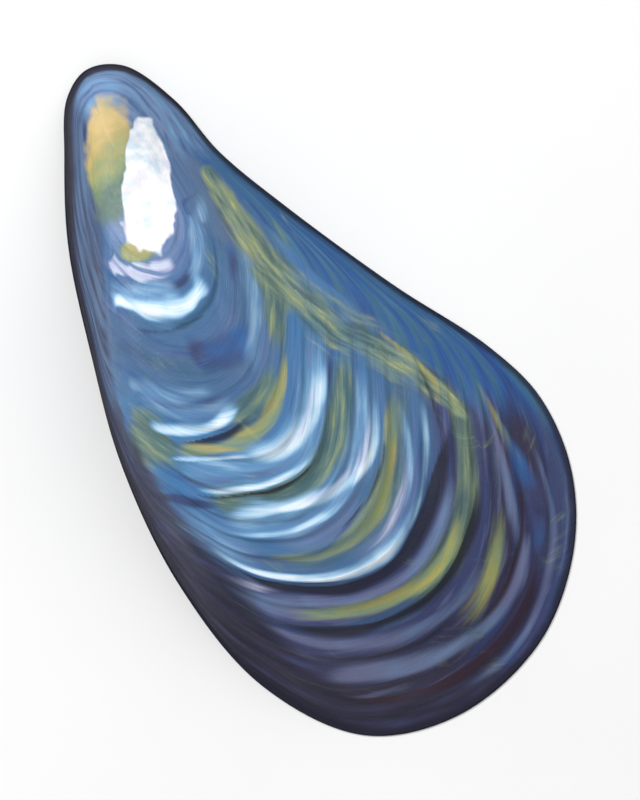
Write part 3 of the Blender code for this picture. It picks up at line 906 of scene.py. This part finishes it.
class Paint:
    """A material under construction: its node tree and the calls that add nodes to it."""

    def __init__(self, name):
        self.material = bpy.data.materials.new(name)
        self.material.use_nodes = True
        self.tree = self.material.node_tree
        self.shader = self.tree.nodes["Principled BSDF"]
        coordinates = self.tree.nodes.new("ShaderNodeTexCoord")
        self.position = Wire(self.tree, coordinates.outputs["Object"])

    def painted(self, name):
        """A number that the mesh carries at each point."""
        node = self.tree.nodes.new("ShaderNodeAttribute")
        node.attribute_name = name
        return Wire(self.tree, node.outputs["Fac"])

    def scaled(self, size):
        """The position, counted in steps of a size in millimetres."""
        node = self.tree.nodes.new("ShaderNodeVectorMath")
        node.operation = "SCALE"
        plug(self.tree, node.inputs[0], self.position)
        node.inputs["Scale"].default_value = 1.0 / (size * MM)
        return Wire(self.tree, node.outputs["Vector"])

    def pattern(self, line, size, count, detail=2.0, roughness=0.5):
        """Clouds of a size in millimetres. With a count across, they are streaks along a line."""
        node = self.tree.nodes.new("ShaderNodeTexNoise")
        if count:
            node.noise_dimensions = "4D"
            plug(self.tree, node.inputs["W"], line * count)
        plug(self.tree, node.inputs["Vector"], self.scaled(size))
        node.inputs["Scale"].default_value = 1.0
        node.inputs["Detail"].default_value = detail
        node.inputs["Roughness"].default_value = roughness
        return Wire(self.tree, node.outputs["Fac"])

    def swing(self, line, pattern):
        """A pattern's swing to both sides of 0."""
        return self.pattern(line, *pattern) - 0.5

    def blend(self, share, first, second):
        """The first colour, covered by a share of the second."""
        node = self.tree.nodes.new("ShaderNodeMix")
        node.data_type = "RGBA"
        plug(self.tree, node.inputs["Factor"], share)
        plug(self.tree, node.inputs[6], first if isinstance(first, Wire) else linear(first))
        plug(self.tree, node.inputs[7], second if isinstance(second, Wire) else linear(second))
        return Wire(self.tree, node.outputs[2])

    def ramp(self, value, stops):
        """A colour read from (position, colour) stops."""
        node = self.tree.nodes.new("ShaderNodeValToRGB")
        plug(self.tree, node.inputs["Fac"], value)
        elements = node.color_ramp.elements
        while len(elements) < len(stops):
            elements.new(1.0)
        for element, (position, _) in zip(elements, stops):
            element.position = position
        for element, (_, colour) in zip(elements, stops):
            element.color = linear(colour)
        return Wire(self.tree, node.outputs["Color"])

    def bump(self, height, distance):
        """Sets the shader's normal from a height, whose full range is a distance in millimetres."""
        node = self.tree.nodes.new("ShaderNodeBump")
        plug(self.tree, node.inputs["Height"], height)
        node.inputs["Distance"].default_value = distance * MM
        node.inputs["Strength"].default_value = 1.0
        self.tree.links.new(node.outputs["Normal"], self.shader.inputs["Normal"])

    def finish(self, colour, roughness):
        plug(self.tree, self.shader.inputs["Base Color"], colour)
        plug(self.tree, self.shader.inputs["Roughness"], roughness)
        return self.material


GROUND = [
    (0.00, PERIWINKLE), (0.14, PERIWINKLE), (0.20, STEEL), (0.26, STEEL), (0.30, SLATE),
    (0.36, SLATE), (0.41, STEEL), (0.48, AZURE), (0.58, AZURE), (0.68, STEEL), (0.715, STEEL),
    (0.745, INDIGO), (0.82, INDIGO), (0.90, PLUM), (0.94, PLUM), (0.97, INDIGO), (1.00, INDIGO),
]
# Colours of the pale arcs, up to white for painted highlight, and of the dark lines, partly painted
# shadow.
LIGHTS = [(0.0, STEEL), (0.25, SKY), (0.58, PALE_SKY), (0.92, ICE), (1.0, ICE)]
DARK_LINE_AND_SHADOW_COLOURS = [(0.0, INK), (0.88, INK), (0.93, MAROON), (1.0, INK)]


# A pattern is (size in millimetres, streaks across, detail, roughness), and the last two may be
# left out. With 0 streaks across it makes clouds.
GROUND_SWAYS = (14.0, 9.0)
GROUND_SWAY = 0.05

# Streaks of other colours, as (pattern, the span of it that shows, cover, colour).
GROUND_STREAKS = [
    ((9.0, 70.0, 3.0), (0.50, 0.68), 0.42, ULTRAMARINE),
    ((7.0, 95.0), (0.54, 0.70), 0.34, LILAC_GREY),
    ((16.0, 26.0, 3.0), (0.52, 0.72), 0.36, TEAL),
]

# How each kind of band is painted: the pattern that tears it, how much, the pattern that its
# colours follow, its cover and its colours. The dark ones follow the growth lines themselves.
BAND_LOOKS = {
    "shade": (
        (11.0, 60.0, 3.0, 0.6), 0.45, (7.0, 0), 0.84,
        [(0.36, NAVY), (0.48, INDIGO), (0.62, COBALT)],
    ),
    "haze": (
        (10.0, 80.0, 3.0, 0.6), 0.55, (6.0, 60.0), 0.66,
        [(0.36, PERIWINKLE), (0.5, SKY), (0.64, PALE_SKY)],
    ),
    "lilac": ((9.0, 90.0, 3.0, 0.6), 0.6, (8.0, 0), 0.66, [(0.4, LILAC_GREY), (0.6, PERIWINKLE)]),
    "olive": (
        (8.0, 75.0, 3.0, 0.6), 0.7, (5.0, 90.0, 3.0), 0.78,
        [(0.36, MOSS), (0.52, OLIVE), (0.68, YELLOW_GREEN)],
    ),
    "ochre": (
        (6.0, 110.0, 3.0, 0.6), 0.6, (6.0, 60.0, 3.0), 0.80,
        [(0.38, SAGE), (0.50, YELLOW_GREEN), (0.66, OCHRE), (0.80, STRAW)],
    ),
    # The pale lilac arcs, partly painted highlight.
    "lilac_and_highlight": (
        (8.0, 120.0, 3.0, 0.6), 0.8, (7.0, 130.0, 3.0), 0.72,
        [(0.38, PERIWINKLE), (0.50, NACRE_LILAC), (0.64, ICE)],
    ),
    # The dark lines, partly painted shadow below the ledge crests.
    "dark": ((9.0, 90.0, 3.0, 0.6), 0.4, None, 0.88, DARK_LINE_AND_SHADOW_COLOURS),
}
FULLY_TORN = 0.25
BAND_SPAN = (0.12, 0.74)

# The pale arcs, partly painted highlight: the clouds that dim them and the streaks that tear them.
LIGHT_CLOUDS = (5.0, 0)
LIGHT_CLOUD_SPAN = (0.3, 0.6)
LIGHT_LEAST = 0.72
LIGHT_RISE = 0.34
LIGHT_STREAKS = (8.0, 120.0, 3.0, 0.6)
LIGHT_TEAR = 1.3
LIGHT_SPAN = (0.08, 0.6)

# How the edge of each patch is broken up, as (pattern, how much, the span of its share).
PATCH_EDGES = {
    "flank": ((12.0, 40.0, 3.0), 0.7, (0.25, 0.8)),
    "beak": ((2.5, 0, 3.0), 0.5, (0.2, 0.8)),
    "margin": ((9.0, 46.0, 3.0), 0.8, (0.1, 0.9)),
    "gloom": ((9.0, 46.0, 3.0), 0.9, (0.15, 0.85)),
    "edge": ((3.0, 0, 3.0), 0.4, (0.1, 0.7)),
    "stain": ((1.6, 0, 4.0), 0.5, (0.12, 0.8)),
    "worn": ((0.9, 0, 4.0), 0.3, (0.16, 0.76)),
    "gold": ((7.0, 34.0, 3.0), 2.4, (0.45, 1.25)),
}

# What the colours of each patch follow, its cover and its colours.
PATCH_COLOURS = {
    "flank": ((12.0, 40.0, 3.0), 0.9, [(0.30, ULTRAMARINE), (0.46, COBALT), (0.58, TEAL), (0.70, AZURE)]),
    "beak": ((4.0, 30.0, 3.0), 0.8, [(0.36, STEEL), (0.48, PERIWINKLE), (0.64, SKY), (0.80, PALE_SKY)]),
    "margin": ((9.0, 46.0, 3.0), 0.92, [(0.40, NAVY), (0.60, SLATE)]),
    "gloom": ((9.0, 46.0, 3.0), 0.9, [(0.38, INK), (0.56, PLUM), (0.7, INDIGO)]),
    "edge": ((3.0, 0, 3.0), 0.85, [(0.0, INK), (1.0, INK)]),
    "gold": ((14.0, 50.0, 3.0), 0.60, [(0.38, STRAW), (0.50, GOLD), (0.62, OCHRE)]),
}

# The olive streak on the keel.
KEEL_STRANDS = (6.0, 1.3, 3.0, 0.6)
KEEL_TEAR = 1.5
KEEL_GAPS = (4.5, 0, 3.0)
KEEL_GAP_TEAR = 1.4
KEEL_SPAN = (0.15, 0.95)
KEEL_TONES = (4.0, 2.0)
KEEL_COVER = 0.82
KEEL_COLOURS = [(0.34, MOSS), (0.44, OLIVE), (0.53, SAGE), (0.60, YELLOW_GREEN), (0.72, STRAW)]

# The stains and the chalk of the worn patch.
STAIN_TONES = (2.4, 0, 3.0)
STAIN_TONE_SWING = 0.9
STAIN_COVER = 0.84
STAIN_COLOURS = [(0.10, OLIVE), (0.45, YELLOW_GREEN), (0.75, OCHRE), (1.0, GOLD)]
CHALK_CLOUDS = (2.2, 0, 4.0)
CHALK = [(0.36, CHALK_SHADE), (0.54, CREAM)]
CHALK_STREAKS = [((3.4, 0, 3.0), (0.52, 0.70), 0.6, NACRE_LILAC)]

# The outside's grain, in millimetres, and its gloss.
OUTSIDE_GRAIN = (5.0, 330.0, 3.0, 0.6)
OUTSIDE_PITS = (0.35, 0, 3.0)
PIT_SHARE = 0.5
OUTSIDE_BUMP = 0.07
OUTSIDE_SPECULAR = 0.3
OUTSIDE_CLOUDS = (3.0, 0, 3.0)
OUTSIDE_ROUGHNESS = 0.26
CLOUD_ROUGHNESS = 0.2
WORN_ROUGHNESS = 0.4
RIM_ROUGHNESS = 0.26
RIM_DULL_REACH = 6.0


def streaked(paint, colour, line, streaks):
    """A colour with streaks or clouds of others in it."""
    for pattern, span, cover, tint in streaks:
        share = paint.pattern(line, *pattern).between(*span)
        colour = paint.blend(share * cover, colour, tint)
    return colour


def outside_ground(paint, line):
    """The blues under the bands, changing from the beak to the rim, with streaks of other blues."""
    swaying = line + paint.swing(line, GROUND_SWAYS) * GROUND_SWAY
    return streaked(paint, paint.ramp(swaying, GROUND), line, GROUND_STREAKS)


def banded(paint, colour, line, name):
    """A colour covered by one kind of band, which is torn into streaks at its weaker places."""
    tears, tear, follows, cover, stops = BAND_LOOKS[name]
    share = paint.painted(name)
    torn = paint.swing(line, tears) * share.between(0.0, FULLY_TORN)
    share = (share + torn * tear).between(*BAND_SPAN)
    tone = paint.pattern(line, *follows) if follows else line
    return paint.blend(share * cover, colour, paint.ramp(tone, stops))


def light_bands(paint, colour, line):
    """The pale arcs: paler growth bands with painted highlights on the ledge crests."""
    dimmed = paint.pattern(line, *LIGHT_CLOUDS).between(*LIGHT_CLOUD_SPAN) * LIGHT_RISE + LIGHT_LEAST
    light = paint.painted("light") * dimmed
    torn = paint.swing(line, LIGHT_STREAKS) * light * LIGHT_TEAR
    level = (light + torn).math("MINIMUM", 1.0)
    return paint.blend(level.between(*LIGHT_SPAN), colour, paint.ramp(level, LIGHTS))


def patch_share(paint, line, name):
    """The share of a patch, with its edge broken up."""
    pattern, amount, span = PATCH_EDGES[name]
    return (paint.painted(name) + paint.swing(line, pattern) * amount).between(*span)


def patched(paint, colour, line, name):
    """A colour covered by a patch."""
    follows, cover, stops = PATCH_COLOURS[name]
    tone = paint.ramp(paint.pattern(line, *follows), stops)
    return paint.blend(patch_share(paint, line, name) * cover, colour, tone)


def keel_olive(paint, colour):
    """The feathered streak of olive along the keel."""
    across = paint.painted("keel_across")
    strands = paint.swing(across, KEEL_STRANDS) * KEEL_TEAR
    gaps = paint.swing(across, KEEL_GAPS) * KEEL_GAP_TEAR
    keel = (paint.painted("keel") + strands + gaps).between(*KEEL_SPAN)
    tone = paint.ramp(paint.pattern(across, *KEEL_TONES), KEEL_COLOURS)
    return paint.blend(keel * KEEL_COVER, colour, tone)


def stained(paint, colour, line):
    """A colour covered by the stains of gold and olive round the worn patch."""
    tone = paint.painted("stain_tone") + paint.swing(line, STAIN_TONES) * STAIN_TONE_SWING
    share = patch_share(paint, line, "stain") * STAIN_COVER
    return paint.blend(share, colour, paint.ramp(tone, STAIN_COLOURS))


def outside_material():
    paint = Paint("shell_outside")
    line = paint.painted("line")
    colour = outside_ground(paint, line)
    for name in ("shade", "haze", "lilac", "olive"):
        colour = banded(paint, colour, line, name)
    colour = patched(paint, colour, line, "flank")
    colour = keel_olive(paint, colour)
    colour = banded(paint, colour, line, "ochre")
    colour = light_bands(paint, colour, line)
    # Lilac arcs, partly painted highlight, then dark lines, partly painted shadow.
    for name in ("lilac_and_highlight", "dark"):
        colour = banded(paint, colour, line, name)
    for name in ("beak", "margin", "gloom", "edge"):
        colour = patched(paint, colour, line, name)
    colour = stained(paint, colour, line)
    worn = patch_share(paint, line, "worn")
    chalk = paint.ramp(paint.pattern(line, *CHALK_CLOUDS), CHALK)
    colour = paint.blend(worn, colour, streaked(paint, chalk, line, CHALK_STREAKS))
    pits = paint.pattern(line, *OUTSIDE_PITS) * PIT_SHARE
    paint.bump(paint.pattern(line, *OUTSIDE_GRAIN) + pits, OUTSIDE_BUMP)
    paint.shader.inputs["Specular IOR Level"].default_value = OUTSIDE_SPECULAR
    by_rim = paint.painted("rim_distance").between(0.0, RIM_DULL_REACH).inverse()
    clouds = paint.pattern(line, *OUTSIDE_CLOUDS) * CLOUD_ROUGHNESS
    roughness = clouds + OUTSIDE_ROUGHNESS + worn * WORN_ROUGHNESS + by_rim * RIM_ROUGHNESS
    return paint.finish(colour, roughness)


NACRE = [
    (0.00, INK), (0.045, INK), (0.085, NAVY), (0.13, COBALT), (0.19, CERULEAN), (0.27, SKY),
    (0.38, PALE_SKY), (0.55, ICE), (0.78, CREAM), (1.00, CREAM),
]
NACRE_REACH = 18.0
NACRE_CLOUDS = (9.0, 0, 3.0)
NACRE_CLOUD_SWAY = 5.0
NACRE_CLOUD_CALM = 9.0
NACRE_RINGS = (16.0, 22.0, 3.0)
NACRE_RING_SWAY = 2.4
NACRE_STREAKS = [
    ((12.0, 16.0, 3.0), (0.50, 0.68), 0.30, NACRE_LILAC),
    ((10.0, 40.0, 3.0), (0.52, 0.66), 0.28, SKY),
]

# The scars, the pallial line and the ligament.
SCAR_CLOUDS = (2.0, 0, 3.0)
MARK_COVER = 0.62
LIGAMENT_CLOUDS = (1.2, 0, 3.0)
LIGAMENT_COLOURS = [(0.4, UMBER), (0.6, CHESTNUT)]
LIGAMENT_SPAN = (0.3, 0.7)
LIGAMENT_COVER = 0.92

# The inside's grain, in millimetres, and its gloss.
INSIDE_GRAIN = (9.0, 60.0)
INSIDE_BUMP = 0.03
INSIDE_CLOUDS = (4.0, 0, 3.0)
INSIDE_ROUGHNESS = 0.16
INSIDE_CLOUD_ROUGHNESS = 0.12
DULL_REACH = 1.4
DULL_ROUGHNESS = 0.3
COAT = 0.4
COAT_ROUGHNESS = 0.12


def inside_nacre(paint, distance, depth):
    """Pearl: ink at the rim, through blues, to white in the middle, with faint rings and clouds."""
    clouds = paint.swing(depth, NACRE_CLOUDS) * NACRE_CLOUD_SWAY
    clouds = clouds * distance.between(0.0, NACRE_CLOUD_CALM)
    rings = paint.swing(depth, NACRE_RINGS) * NACRE_RING_SWAY
    colour = paint.ramp((distance + clouds + rings) * (1.0 / NACRE_REACH), NACRE)
    return streaked(paint, colour, depth, NACRE_STREAKS)


def inside_marks(paint, colour, depth):
    """The gold of the belly side, the scars, the pallial line and the brown ligament."""
    colour = patched(paint, colour, depth, "gold")
    scar = paint.painted("scar") * (paint.pattern(depth, *SCAR_CLOUDS) * 0.5 + 0.5)
    colour = paint.blend(scar * MARK_COVER, colour, SKY)
    colour = paint.blend(paint.painted("pallial") * MARK_COVER, colour, STEEL)
    brown = paint.ramp(paint.pattern(depth, *LIGAMENT_CLOUDS), LIGAMENT_COLOURS)
    ligament = paint.painted("ligament").between(*LIGAMENT_SPAN)
    return paint.blend(ligament * LIGAMENT_COVER, colour, brown)


def inside_material():
    paint = Paint("shell_inside")
    distance = paint.painted("rim_distance")
    depth = paint.painted("depth_in")
    colour = inside_marks(paint, inside_nacre(paint, distance, depth), depth)
    polish = paint.pattern(depth, *INSIDE_CLOUDS) * INSIDE_CLOUD_ROUGHNESS + INSIDE_ROUGHNESS
    dull = distance.between(0.0, DULL_REACH).inverse()
    paint.bump(paint.pattern(depth, *INSIDE_GRAIN), INSIDE_BUMP)
    paint.shader.inputs["Coat Weight"].default_value = COAT
    paint.shader.inputs["Coat Roughness"].default_value = COAT_ROUGHNESS
    return paint.finish(colour, polish + dull * DULL_ROUGHNESS)


def paper_material():
    paint = Paint("paper")
    return paint.finish(paint.ramp(paint.pattern(None, *PAPER_CLOUDS), PAPER), FLOOR_ROUGHNESS)


def make_floor():
    bpy.ops.mesh.primitive_plane_add(size=FLOOR_SIZE)
    floor = bpy.context.object
    floor.name = "floor"
    floor.data.materials.append(paper_material())


def make_world():
    world = bpy.data.worlds.new("world")
    world.use_nodes = True
    background = world.node_tree.nodes["Background"]
    background.inputs["Color"].default_value = (1.0, 1.0, 1.0, 1.0)
    background.inputs["Strength"].default_value = WORLD_STRENGTH
    bpy.context.scene.world = world


def area_light(name, place, size, power):
    """A square soft light that points at the shell."""
    data = bpy.data.lights.new(name, "AREA")
    data.size = size
    data.energy = power
    light = bpy.data.objects.new(name, data)
    light.location = place
    light.rotation_euler = (-Vector(place)).to_track_quat("-Z", "Y").to_euler()
    bpy.context.scene.collection.objects.link(light)


def make_camera(shell):
    """A long lens straight above, turned and framed as in the photograph."""
    right = np.array([math.cos(SHELL_TURN), -math.sin(SHELL_TURN)])
    up = np.array([math.sin(SHELL_TURN), math.cos(SHELL_TURN)])
    plan = np.array([vertex.co[:2] for vertex in shell.data.vertices])
    middle = [(np.max(plan @ axis) + np.min(plan @ axis)) / 2.0 for axis in (right, up)]
    shell_height = np.ptp(plan @ up)
    frame_height = shell_height * IMAGE_HEIGHT / SHELL_HEIGHT_IN_IMAGE
    data = bpy.data.cameras.new("camera")
    data.sensor_width = SENSOR
    data.lens = SENSOR * CAMERA_DISTANCE / frame_height
    camera = bpy.data.objects.new("camera", data)
    x, y = middle[0] * right + middle[1] * up
    turn = Matrix.Rotation(-SHELL_TURN, 4, "Z")
    camera.matrix_world = Matrix.Translation((x, y, CAMERA_DISTANCE)) @ turn
    bpy.context.scene.collection.objects.link(camera)
    bpy.context.scene.camera = camera


def main():
    shell = make_shell()
    shell.data.materials.append(outside_material())
    shell.data.materials.append(inside_material())
    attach(shell, "root")
    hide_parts(NODE)
    make_floor()
    make_world()
    for lamp in LAMPS:
        area_light(*lamp)
    make_camera(shell)
    bpy.context.scene.view_settings.view_transform = "Standard"


main()
